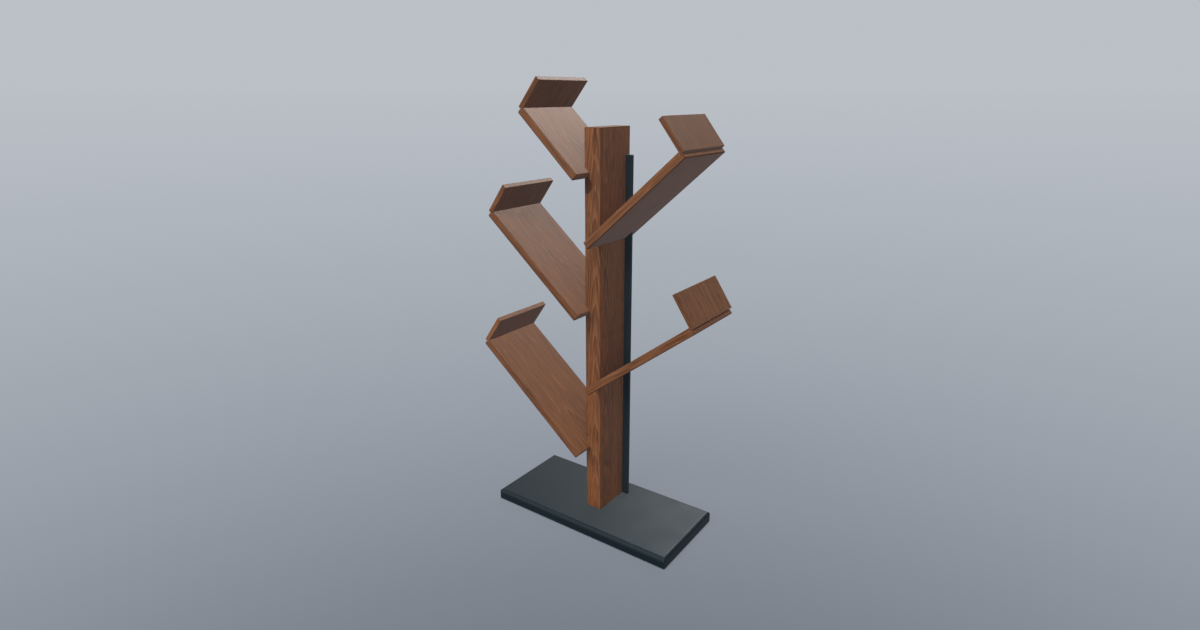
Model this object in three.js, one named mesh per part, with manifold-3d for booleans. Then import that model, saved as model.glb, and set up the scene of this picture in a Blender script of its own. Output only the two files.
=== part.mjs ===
// A tree shaped bookshelf. A timber trunk stands on a slab, five boards slope up and out of it like
// branches, each with an end stop, and a steel spine runs up behind the trunk.
//
// Millimetres, +Z up, +X to the right, and the front faces -Y. The origin is on the floor, under the
// middle of the slab.

import * as THREE from 'three';
import Module from 'manifold-3d';
import { mergeVertices } from 'three/addons/utils/BufferGeometryUtils.js';

const wasm = await Module();
wasm.setup();

// Common fits
const clearance = 0.3; // gap wherever two pieces meet
const overrun = 40; // how far a cutting shape runs past what it cuts
const bevelShare = 0.65; // an extruded form's end edges, as a share of its corners' rounds

// Slab and the felt under it
const slabLength = 810;
const slabDepth = 368;
const slabHeight = 42;
const slabCornerRadius = 3; // at the four upright edges
const slabEdgeRound = 12; // along the upper edges
const feltThickness = 3;
const feltInset = 12;

// Trunk
const trunkWidth = 68;
const trunkDepth = 186;
const trunkAboveTopBoard = 155; // from the highest board's upper inner edge to the trunk's top
const trunkSetback = 31; // the trunk's middle lies this far behind the slab's middle
const trunkRound = 2; // along its four upright edges

// Steel spine with its foot plate
const spineWidth = 122;
const spineThickness = 12;
const spineBelowTrunkTop = 100;
const spineToTrunkBack = 14; // timber left behind the spine, which is the rear cover
const spineRound = 2; // at its two upper corners
const footPlateWidth = 200;
const footPlateDepth = 216;
const footPlateBehindSpine = 24;
const footPlateThickness = 8;
const footPlateRadius = 12;

// Boards
const boardThickness = 29;
const boardDepth = 282;
const boardSetback = 3; // the boards' middle lies this far behind the slab's middle
const boardRound = 4; // along their edges
const boardEndInset = 2; // how deep the lower edge of a board's end lies inside the trunk

// For each board, the height of its upper inner edge above the slab, and how far out and up its top
// face runs from there to the end stop
const leftTopHeight = 1345;
const leftTopReach = 232;
const leftTopRise = 217;
const leftMiddleHeight = 838;
const leftMiddleReach = 401;
const leftMiddleRise = 343;
const leftLowHeight = 272;
const leftLowReach = 456;
const leftLowRise = 376;
const rightTopHeight = 1113;
const rightTopReach = 366;
const rightTopRise = 326;
const rightLowHeight = 558;
const rightLowReach = 426;
const rightLowRise = 325;

// End stops
const stopThickness = 19;
const stopHeight = 120; // inner face, above the board
const stopLean = 8; // how far the stop leans outwards over that height
const stopOverhang = 10; // how far the stop stands out past the board's end
const stopRound = 1.5; // along its edges
const rebateDepth = 11; // the step in the board's end that the stop stands in

// Pins from the trunk into the boards, and dowels from the boards into the stops
const pinRadius = 6;
const pinInTrunk = 50;
const pinInBoard = 90;
const pinChamfer = 1;
const pinPlaceShares = { front: 0.25, rear: 0.75 }; // of the trunk's depth in front of the spine
const dowelRadius = 2.5;
const dowelInBoard = 15;
const dowelInStop = 9;
const dowelChamfer = 0.8;
const dowelPlaceShares = { front: 0.2, rear: 0.8 }; // of the board's depth

// Bolts and inserts at the trunk's foot
const boltRadius = 5;
const boltHeadRadius = 9;
const boltHeadHeight = 6.4;
const boltInTrunk = 24;
const boltChamfer = 1;
const boltHeadRoom = 0.6; // above the felt
const insertRadius = 8;
const insertLength = 26;
const insertChamfer = 0.8;

// Countersunk screws
const screwRadius = 3;
const screwHeadRadius = 6;
const screwHeadHeight = 3.2;
const screwPoint = 4;
const socketRadius = 2.3;
const socketDepth = 2.2;
const spineScrewInTrunk = 45;
const spineScrewRecess = 1;
const footScrewInSlab = 18;
const footScrewEdge = 20; // from the foot plate's edges to the screws' middles
const holeEnd = 2; // how much deeper a blind hole is than what it holds

// Smoothness of round forms
const curveSegments = 3;
const fineBevelSegments = 2;
const slabBevelSegments = 6;
const pinSides = 16;
const dowelSides = 12;
const screwSides = 16;
const hexSides = 6;

// The boards, each with the side it grows to
const boards = [
  { name: 'left_top', side: -1, height: leftTopHeight, reach: leftTopReach, rise: leftTopRise },
  { name: 'left_middle', side: -1, height: leftMiddleHeight, reach: leftMiddleReach, rise: leftMiddleRise },
  { name: 'left_low', side: -1, height: leftLowHeight, reach: leftLowReach, rise: leftLowRise },
  { name: 'right_top', side: 1, height: rightTopHeight, reach: rightTopReach, rise: rightTopRise },
  { name: 'right_low', side: 1, height: rightLowHeight, reach: rightLowReach, rise: rightLowRise },
];

// Levels and planes that several pieces share
const topBoardHeight = Math.max(...boards.map((board) => board.height));
const trunkHeight = topBoardHeight + trunkAboveTopBoard;
const spineHeight = trunkHeight - spineBelowTrunkTop;
const slabBottom = feltThickness + clearance;
const slabTop = slabBottom + slabHeight;
const trunkFoot = slabTop + clearance;
const trunkFront = trunkSetback - trunkDepth / 2;
const trunkBack = trunkSetback + trunkDepth / 2;
const spineBack = trunkBack - spineToTrunkBack;
const spineFront = spineBack - spineThickness;
const boardFront = boardSetback - boardDepth / 2;
const boardBack = boardSetback + boardDepth / 2;
const pocketDepth = footPlateThickness + boltHeadHeight + 2 * clearance + boltHeadRoom;
const pocketRoof = slabBottom + pocketDepth;
const footPlateTop = pocketRoof - clearance;
const footPlateBottom = footPlateTop - footPlateThickness;
const footPlateMiddle = spineBack + footPlateBehindSpine - footPlateDepth / 2;
const hiddenDepth = spineFront - trunkFront;

/** A finish from its colour, roughness and metalness. */
function finish(color, roughness, metalness = 0) {
  return new THREE.MeshStandardMaterial({ color, roughness, metalness, flatShading: true });
}

const finishes = {
  walnut: finish(0x7a5038, 0.45),
  slate: finish(0x3c4649, 0.5),
  spine: finish(0x1e282b, 0.55),
  steel: finish(0x9a9ea3, 0.35, 0.9),
  beech: finish(0xc9a77a, 0.7),
  felt: finish(0x2b2c2e, 0.95),
};

// Solids

/** Turns a closed geometry into a solid that can be joined and cut. */
function solidOf(geometry) {
  const bare = new THREE.BufferGeometry();
  bare.setAttribute('position', geometry.getAttribute('position'));
  bare.setIndex(geometry.getIndex());
  const merged = mergeVertices(bare);
  const corners = merged.getIndex().array;
  const kept = [];
  for (let i = 0; i < corners.length; i += 3) {
    const [a, b, c] = corners.slice(i, i + 3);
    if (a !== b && b !== c && c !== a) {
      kept.push(a, b, c);
    }
  }
  return new wasm.Manifold(new wasm.Mesh({
    numProp: 3,
    vertProperties: new Float32Array(merged.getAttribute('position').array),
    triVerts: new Uint32Array(kept),
  }));
}

/** Turns a solid back into a geometry. */
function geometryOf(solid) {
  const { vertProperties, triVerts, numProp } = solid.getMesh();
  const geometry = new THREE.BufferGeometry();
  geometry.setAttribute('position', new THREE.BufferAttribute(vertProperties, numProp));
  geometry.setIndex(new THREE.BufferAttribute(triVerts, 1));
  geometry.computeVertexNormals();
  return geometry;
}

/** Joins the added geometries to a body and then cuts the tools out of it. */
function shaped(body, { add = [], cut = [] }) {
  let solid = solidOf(body);
  for (const piece of add) {
    solid = solid.add(solidOf(piece));
  }
  for (const tool of cut) {
    solid = solid.subtract(solidOf(tool));
  }
  return geometryOf(solid);
}

// Basic forms

/** A box between two opposite corners, given in any order. */
function block(x0, x1, y0, y1, z0, z1) {
  const box = new THREE.BoxGeometry(Math.abs(x1 - x0), Math.abs(y1 - y0), Math.abs(z1 - z0));
  return box.translate((x0 + x1) / 2, (y0 + y1) / 2, (z0 + z1) / 2);
}

/** An outline through its corners, each { x, y, round } softened over the length named round. */
function outline(corners) {
  const shape = new THREE.Shape();
  corners.forEach((corner, i) => {
    const here = new THREE.Vector2(corner.x, corner.y);
    const toward = (other) => {
      const way = new THREE.Vector2(other.x, other.y).sub(here);
      return way.setLength(corner.round ?? 0).add(here);
    };
    const start = toward(corners.at(i - 1));
    const end = toward(corners[(i + 1) % corners.length]);
    if (i === 0) {
      shape.moveTo(start.x, start.y);
    } else {
      shape.lineTo(start.x, start.y);
    }
    if (corner.round) {
      shape.quadraticCurveTo(here.x, here.y, end.x, end.y);
    }
  });
  return shape;
}

/** A rectangle round the middle of the plane, with soft corners. */
function softRectangle(width, height, round) {
  return outline([
    { x: -width / 2, y: -height / 2, round },
    { x: width / 2, y: -height / 2, round },
    { x: width / 2, y: height / 2, round },
    { x: -width / 2, y: height / 2, round },
  ]);
}

/** An outline drawn out along +Z from zero to a length, with square ends. */
function prism(shape, length) {
  return new THREE.ExtrudeGeometry(shape, { depth: length, bevelEnabled: false, curveSegments });
}

/** The same with its two end edges softened, by less than any rounds of the outline's corners. */
function softPrism(shape, length, edge, bevelSegments = fineBevelSegments) {
  const body = new THREE.ExtrudeGeometry(shape, {
    depth: length - 2 * edge,
    bevelThickness: edge,
    bevelSize: edge,
    bevelOffset: -edge,
    bevelSegments,
    curveSegments,
  });
  return body.translate(0, 0, edge);
}

/** A soft prism with its outline in the X-Z plane, running back from one Y plane to another. */
function softPrismAlongY(shape, front, back, round) {
  return softPrism(shape, back - front, round * bevelShare).rotateX(Math.PI / 2).translate(0, back, 0);
}

/** A turned form with its axis along +Z, from [radius, height] pairs that start and end on the axis. */
function turned(profile, sides) {
  const points = profile.map(([radius, height]) => new THREE.Vector2(radius, height));
  return new THREE.LatheGeometry(points, sides).rotateX(Math.PI / 2);
}

/** A round rod along +Z from zero to a length, chamfered at both ends. */
function rod(radius, length, chamfer, sides) {
  return turned([
    [0, 0],
    [radius - chamfer, 0],
    [radius, chamfer],
    [radius, length - chamfer],
    [radius - chamfer, length],
    [0, length],
  ], sides);
}

/** A plain round hole tool along +Z between two heights. */
function drill(radius, from, to, sides) {
  return turned([[0, from], [radius, from], [radius, to], [0, to]], sides);
}

// Frames

/** The frame of a board: its origin on the upper inner edge, local +Z square to the top face. */
function boardFrame(board) {
  const slope = Math.atan2(board.rise, board.reach);
  const cornerX = trunkWidth / 2 - boardEndInset - boardThickness * Math.sin(slope);
  const turn = new THREE.Matrix4().makeRotationY(-board.side * slope);
  return turn.setPosition(board.side * cornerX, 0, slabTop + board.height);
}

/** Carries a geometry from one frame into another. */
function carried(geometry, from, to) {
  return geometry.applyMatrix4(to.clone().invert().multiply(from));
}

/** Points a form drawn along +Z along the board's length instead, outwards. */
function alongBoard(geometry, board) {
  return geometry.rotateY(board.side * Math.PI / 2);
}

const world = new THREE.Matrix4();

// What the boards have in common

const stopAngle = Math.atan2(stopLean, stopHeight);
const pinLevel = -boardThickness / 2;
const dowelLevel = -rebateDepth / 2;
const pinPlaces = Object.entries(pinPlaceShares).map(([end, share]) => (
  { end, y: trunkFront + share * hiddenDepth }
));
const dowelPlaces = Object.entries(dowelPlaceShares).map(([end, share]) => (
  { end, y: boardFront + share * boardDepth }
));

/** The length of a board's top face, from its inner edge to the end stop. */
function topLength(board) {
  return Math.hypot(board.reach, board.rise);
}

/** A point on the leaning stop: how far through it, and at which level square to the board. */
function stopPoint(board, through, level) {
  const along = (level + through * Math.sin(stopAngle)) / Math.cos(stopAngle);
  const out = topLength(board) + through * Math.cos(stopAngle) + along * Math.sin(stopAngle);
  return { x: board.side * out, y: level };
}

/** The side view of a board, with the step for its end stop. */
function boardOutline(board) {
  const round = boardRound;
  const end = topLength(board) + stopThickness - stopOverhang;
  return outline([
    { x: 0, y: 0, round },
    stopPoint(board, 0, 0),
    stopPoint(board, 0, -rebateDepth),
    { x: board.side * end, y: -rebateDepth, round },
    { x: board.side * end, y: -boardThickness, round },
    { x: 0, y: -boardThickness, round },
  ]);
}

/** The side view of an end stop, standing in the board's step. */
function stopOutline(board) {
  const foot = clearance - rebateDepth;
  const innerFace = clearance;
  const outerFace = clearance + stopThickness;
  const top = stopHeight * Math.cos(stopAngle);
  const topDrop = stopThickness * Math.sin(stopAngle);
  return outline([
    stopPoint(board, innerFace, foot),
    { ...stopPoint(board, innerFace, top), round: stopRound },
    { ...stopPoint(board, outerFace, top - topDrop), round: stopRound },
    { ...stopPoint(board, outerFace, foot), round: stopRound },
  ]);
}

/** Hole tools for a board's two pins, in the board's frame. */
function pinHoles(board) {
  return pinPlaces.map(({ y }) => {
    const hole = drill(pinRadius + clearance, -pinInTrunk - holeEnd, pinInBoard + holeEnd, pinSides);
    return alongBoard(hole, board).translate(0, y, pinLevel);
  });
}

/** Hole tools for an end stop's two dowels, in the board's frame. */
function dowelHoles(board) {
  return dowelPlaces.map(({ y }) => {
    const radius = dowelRadius + clearance;
    const hole = drill(radius, -dowelInBoard - holeEnd, dowelInStop + holeEnd, dowelSides);
    return alongBoard(hole, board).translate(board.side * topLength(board), y, dowelLevel);
  });
}

/** The slanted housing that a board's end needs in the trunk and in the rear cover. */
function housing(board) {
  const inner = -board.side * clearance;
  const outer = board.side * (trunkWidth + overrun);
  const top = clearance;
  const bottom = -boardThickness - clearance;
  return block(inner, outer, boardFront - overrun, boardBack + overrun, bottom, top);
}

/** The room that the spine needs in whatever it passes through. */
function spineRoom(bottom, top) {
  const side = spineWidth / 2 + clearance;
  return block(-side, side, spineFront - clearance, spineBack + clearance, bottom, top);
}

// The screws and bolts that run through several pieces

const boardHeights = boards.map((board) => board.height).sort((a, b) => a - b);
const spineScrewHeights = boardHeights.map((height, i) => (height + (boardHeights[i - 1] ?? 0)) / 2);
const spineScrewHead = trunkBack - spineScrewRecess;
const spineScrewLength = spineScrewHead - spineFront + spineScrewInTrunk;
const footScrewLength = footPlateThickness + clearance + footScrewInSlab;
const boltSpan = trunkFoot + boltInTrunk - footPlateBottom;

const footScrewPlaces = [-1, 1].flatMap((row) => [-1, 1].map((column) => ({
  x: column * (footPlateWidth / 2 - footScrewEdge),
  y: footPlateMiddle + row * (footPlateDepth / 2 - footScrewEdge),
})));

/** A countersunk screw along +Z with a six-sided socket, its head's face at zero. */
function screw(length) {
  const body = turned([
    [0, 0],
    [screwHeadRadius, 0],
    [screwRadius, screwHeadHeight],
    [screwRadius, length - screwPoint],
    [0, length],
  ], screwSides);
  return shaped(body, { cut: [drill(socketRadius, -overrun, socketDepth, hexSides)] });
}

/** The hole such a screw needs, open in front of its head. */
function screwHole(length) {
  const head = screwHeadRadius + clearance;
  const shank = screwRadius + clearance;
  return turned([
    [0, -overrun],
    [head, -overrun],
    [head, 0],
    [shank, screwHeadHeight],
    [shank, length + holeEnd],
    [0, length + holeEnd],
  ], screwSides);
}

/** Turns a form drawn along +Z to run forwards, along -Y. */
function forwards(geometry) {
  return geometry.rotateX(Math.PI / 2);
}

/** The hole tools for the spine's screws, in the world's frame. */
function spineScrewHoles() {
  return spineScrewHeights.map((height) => (
    forwards(screwHole(spineScrewLength)).translate(0, spineScrewHead, slabTop + height)
  ));
}

/** The hole tools for the foot plate's screws, in the world's frame. */
function footScrewHoles() {
  return footScrewPlaces.map(({ x, y }) => screwHole(footScrewLength).translate(x, y, footPlateBottom));
}

/** The hole tools for the trunk's bolts, in the world's frame. */
function boltHoles(radius, from, to) {
  return pinPlaces.map(({ y }) => drill(radius, from, to, pinSides).translate(0, y, 0));
}

// The pieces

function baseSlab() {
  const square = softRectangle(slabLength, slabDepth, 0);
  const body = softPrism(square, slabHeight + slabEdgeRound, slabEdgeRound, slabBevelSegments);
  const half = slabLength / 2 + overrun;
  const below = block(-half, half, -half, half, slabBottom - overrun, slabBottom);
  const plan = softRectangle(slabLength, slabDepth, slabCornerRadius);
  const core = prism(plan, slabHeight + 4 * overrun).translate(0, 0, slabBottom - 2 * overrun);
  const around = shaped(block(-half, half, -half, half, slabBottom - overrun, slabTop + overrun), {
    cut: [core],
  });
  const pocketPlan = softRectangle(
    footPlateWidth + 2 * clearance,
    footPlateDepth + 2 * clearance,
    footPlateRadius,
  );
  const pocket = prism(pocketPlan, overrun + pocketDepth);
  return shaped(body.translate(0, 0, slabBottom - slabEdgeRound), {
    cut: [
      below,
      around,
      pocket.translate(0, footPlateMiddle, slabBottom - overrun),
      spineRoom(slabBottom, slabTop + overrun),
      ...boltHoles(boltRadius + clearance, slabBottom, slabTop + overrun),
      ...footScrewHoles(),
    ],
  });
}

function feltUnderlay() {
  const plan = softRectangle(slabLength - 2 * feltInset, slabDepth - 2 * feltInset, slabCornerRadius);
  return prism(plan, feltThickness);
}

function trunk() {
  const plan = softRectangle(trunkWidth, trunkDepth, trunkRound);
  const post = softPrism(plan, trunkHeight, trunkRound * bevelShare);
  const rebateTop = slabTop + spineHeight + clearance;
  const half = trunkWidth / 2 + overrun;
  return shaped(post.translate(0, trunkSetback, trunkFoot), {
    cut: [
      block(-half, half, spineFront - clearance, trunkBack + overrun, slabTop - overrun, rebateTop),
      ...boards.map((board) => carried(housing(board), boardFrame(board), world)),
      ...boards.flatMap((board) => pinHoles(board).map((hole) => carried(hole, boardFrame(board), world))),
      ...boltHoles(insertRadius + clearance, slabTop - overrun, trunkFoot + insertLength + holeEnd),
      ...spineScrewHoles(),
    ],
  });
}

function rearCover() {
  const front = spineBack + clearance;
  const round = trunkRound;
  const half = trunkWidth / 2;
  const plan = outline([
    { x: -half, y: front },
    { x: half, y: front },
    { x: half, y: trunkBack, round },
    { x: -half, y: trunkBack, round },
  ]);
  return shaped(prism(plan, spineHeight - clearance).translate(0, 0, trunkFoot), {
    cut: [
      ...boards.map((board) => carried(housing(board), boardFrame(board), world)),
      ...spineScrewHoles(),
    ],
  });
}

function spine() {
  const top = slabTop + spineHeight;
  const half = spineWidth / 2;
  const blade = softPrismAlongY(outline([
    { x: -half, y: footPlateBottom },
    { x: half, y: footPlateBottom },
    { x: half, y: top, round: spineRound },
    { x: -half, y: top, round: spineRound },
  ]), spineFront, spineBack, spineRound);
  const footPlan = softRectangle(footPlateWidth, footPlateDepth, footPlateRadius);
  const footPlate = prism(footPlan, footPlateThickness);
  return shaped(blade, {
    add: [footPlate.translate(0, footPlateMiddle, footPlateBottom)],
    cut: [
      ...boltHoles(boltRadius + clearance, slabBottom, slabTop),
      ...footScrewHoles(),
      ...spineScrewHoles(),
    ],
  });
}

function boardBody(board) {
  const body = softPrismAlongY(boardOutline(board), boardFront, boardBack, boardRound);
  const slot = spineRoom(0, slabTop + trunkHeight + overrun);
  return shaped(body, {
    cut: [carried(slot, world, boardFrame(board)), ...pinHoles(board), ...dowelHoles(board)],
  });
}

function endStop(board) {
  const body = softPrismAlongY(stopOutline(board), boardFront, boardBack, stopRound);
  return shaped(body, { cut: dowelHoles(board) });
}

function trunkBolt() {
  const head = new THREE.CylinderGeometry(boltHeadRadius, boltHeadRadius, boltHeadHeight, hexSides);
  const shank = rod(boltRadius, boltHeadHeight + boltSpan, boltChamfer, pinSides);
  return shaped(shank, { add: [head.rotateX(Math.PI / 2).translate(0, 0, boltHeadHeight / 2)] });
}

function trunkInsert() {
  const bore = boltRadius + clearance;
  const tube = new THREE.LatheGeometry([
    [bore, 0],
    [insertRadius - insertChamfer, 0],
    [insertRadius, insertChamfer],
    [insertRadius, insertLength - insertChamfer],
    [insertRadius - insertChamfer, insertLength],
    [bore, insertLength],
    [bore, 0],
  ].map(([radius, height]) => new THREE.Vector2(radius, height)), pinSides);
  return geometryOf(solidOf(tube.rotateX(Math.PI / 2)));
}

// Assembly

/** Adds a named piece to a group at a place. */
function place(parent, name, geometry, material, x = 0, y = 0, z = 0) {
  const mesh = new THREE.Mesh(geometry, material);
  mesh.name = name;
  mesh.position.set(x, y, z);
  parent.add(mesh);
  return mesh;
}

/** A board with its end stop, pins and dowels, in a group that carries the board's slope. */
function branch(board) {
  const group = new THREE.Group();
  group.applyMatrix4(boardFrame(board));
  place(group, `board_${board.name}`, boardBody(board), finishes.walnut);
  place(group, `end_stop_${board.name}`, endStop(board), finishes.walnut);
  for (const { end, y } of pinPlaces) {
    const pin = alongBoard(rod(pinRadius, pinInTrunk + pinInBoard, pinChamfer, pinSides), board);
    const x = -board.side * pinInTrunk;
    place(group, `pin_${board.name}_${end}`, geometryOf(solidOf(pin)), finishes.steel, x, y, pinLevel);
  }
  for (const { end, y } of dowelPlaces) {
    const dowel = alongBoard(rod(dowelRadius, dowelInBoard + dowelInStop, dowelChamfer, dowelSides), board);
    const body = geometryOf(solidOf(dowel));
    const x = board.side * (topLength(board) - dowelInBoard);
    place(group, `dowel_${board.name}_${end}`, body, finishes.beech, x, y, dowelLevel);
  }
  return group;
}

/** The bolts, inserts and screws that hold the trunk, the spine and the slab together. */
function fasteners() {
  const group = new THREE.Group();
  const boltFoot = footPlateBottom - clearance - boltHeadHeight;
  for (const { end, y } of pinPlaces) {
    place(group, `trunk_bolt_${end}`, trunkBolt(), finishes.steel, 0, y, boltFoot);
    place(group, `trunk_insert_${end}`, trunkInsert(), finishes.steel, 0, y, trunkFoot);
  }
  footScrewPlaces.forEach(({ x, y }, i) => {
    place(group, `foot_screw_${i + 1}`, screw(footScrewLength), finishes.steel, x, y, footPlateBottom);
  });
  spineScrewHeights.forEach((height, i) => {
    const body = forwards(screw(spineScrewLength));
    place(group, `spine_screw_${i + 1}`, body, finishes.steel, 0, spineScrewHead, slabTop + height);
  });
  return group;
}

const group = new THREE.Group();
place(group, 'base_slab', baseSlab(), finishes.slate);
place(group, 'felt_underlay', feltUnderlay(), finishes.felt);
place(group, 'trunk', trunk(), finishes.walnut);
place(group, 'rear_cover', rearCover(), finishes.walnut);
place(group, 'spine', spine(), finishes.spine);
for (const board of boards) group.add(branch(board));
group.add(fasteners());

export default group;
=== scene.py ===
"""Finishes and stage for a bookshelf that grows like a tree.

A timber trunk stands on a painted slab. Five boards slope out of it, each with an end stop, and a
steel spine runs up behind it. Everything is in metres, with +Z up and the front facing -Y.
"""

import logging
import math
from dataclasses import dataclass, replace
from enum import Enum
from typing import Any

import bpy
import numpy as np
from mathutils import Matrix, Vector


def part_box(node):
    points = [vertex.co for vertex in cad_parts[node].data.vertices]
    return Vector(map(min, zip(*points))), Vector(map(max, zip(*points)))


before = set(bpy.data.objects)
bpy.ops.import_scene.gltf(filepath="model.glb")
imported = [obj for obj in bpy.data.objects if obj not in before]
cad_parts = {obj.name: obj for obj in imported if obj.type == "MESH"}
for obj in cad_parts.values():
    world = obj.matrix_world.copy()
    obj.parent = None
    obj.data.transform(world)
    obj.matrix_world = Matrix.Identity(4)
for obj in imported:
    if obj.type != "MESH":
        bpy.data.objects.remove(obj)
LOG = logging.getLogger("bookshelf")

Socket = bpy.types.NodeSocket
Number = float | Socket
Span = tuple[float, float]
Triple = tuple[float, float, float]
Colour = tuple[float, float, float]
Stops = tuple[tuple[float, Colour], ...]


class Side(Enum):
    """The side of the trunk that a board grows to."""

    LEFT = -1
    RIGHT = 1


class Lie(Enum):
    """How a square piece lies: the axis that its grain follows, and the axis across its face."""

    LEVEL = ((1, 0, 0), (0, 1, 0))
    FACING_FRONT = ((0, 0, 1), (-1, 0, 0))
    FACING_BACK = ((0, 0, 1), (1, 0, 0))
    THROUGH = ((0, 1, 0), (1, 0, 0))


class Meets(Enum):
    """Which light on its way to another piece meets a piece: in gloss, bounced and straight."""

    ALL = (True, True, True)
    DULL = (False, True, True)
    STRAIGHT = (False, False, True)
    NONE = (False, False, False)


@dataclass(frozen=True)
class Layer:
    """Smooth noise in a finish, by how many of its features there are in a metre.

    Attributes:
        along: how many there are along the grain.
        across: how many there are across it.
        detail: how many finer layers it has.
        roughness: how strong those are.
        shift: how far a seed of one moves it along each axis, in features.
    """

    along: float
    across: float
    detail: float = 2.0
    roughness: float = 0.5
    shift: Triple = (3.7, 5.3, 1.9)


# The shift of noises that don't follow the others.
OTHER_SHIFT: Triple = (1.9, 5.3, 3.7)


@dataclass(frozen=True)
class Wash:
    """How much of a colour, or of a roughness, shows where a noise is high.

    Attributes:
        start: the noise at which it starts to show.
        full: the noise at which it shows in full.
        share: how much of it that is.
        marking: how much is added to that in fully marked timber.
    """

    start: float
    full: float
    share: float = 1.0
    marking: float = 0.0


@dataclass(frozen=True)
class Cut:
    """Where a piece lay in its log, in metres.

    Attributes:
        aside: how far the pith lies to the side of the piece's middle.
        below: how far the pith lies under the piece's face.
        ring: the width of a growth ring.
        taper: how much the rings narrow along the piece, for each metre.
        marking: how strongly they show.
        steps: where in a ring its body starts and ends, and where its late wood is darkest.
        gleam: how strongly a thin pale line shows where a ring starts.
        fleck: the noise of its dark flecks.
    """

    aside: float
    below: float
    ring: float
    taper: float
    marking: float
    steps: Triple = (0.28, 0.30, 0.70)
    gleam: float = 0.0
    fleck: Layer = Layer(18.0, 170.0, detail=1.0, shift=OTHER_SHIFT)


class Sawing(Enum):
    """How timber is cut from the log."""

    CROWN = Cut(aside=-0.012, below=0.036, ring=0.0062, taper=0.055, marking=1.0)
    FLAT = Cut(
        aside=0.020, below=0.085, ring=0.0150, taper=0.045, marking=0.42,
        steps=(0.12, 0.78, 0.90), gleam=0.85, fleck=Layer(9.0, 230.0, detail=1.0, shift=OTHER_SHIFT),
    )
    RIFT = Cut(aside=0.170, below=0.060, ring=0.0070, taper=0.020, marking=0.7)


class Figure(Enum):
    """The noises that all walnut has in it."""

    DRIFT = Layer(1.8, 9.0)
    CLOUD = Layer(1.3, 22.0, shift=OTHER_SHIFT)
    WARMTH = Layer(2.6, 60.0, shift=OTHER_SHIFT)
    STREAK = Layer(2.2, 110.0, roughness=0.6)
    FIBRE = Layer(7.0, 420.0, detail=3.0, roughness=0.6)
    PORE = Layer(160.0, 1500.0, detail=1.0)


@dataclass(frozen=True)
class Block:
    """The box that a straight piece was cut from.

    Attributes:
        centre: the middle of the box.
        along: the way its grain runs.
        across: the way across its face.
        half: half its size along the grain, across the face and through its thickness.
    """

    centre: Triple
    along: Triple
    across: Triple
    half: Triple


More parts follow.
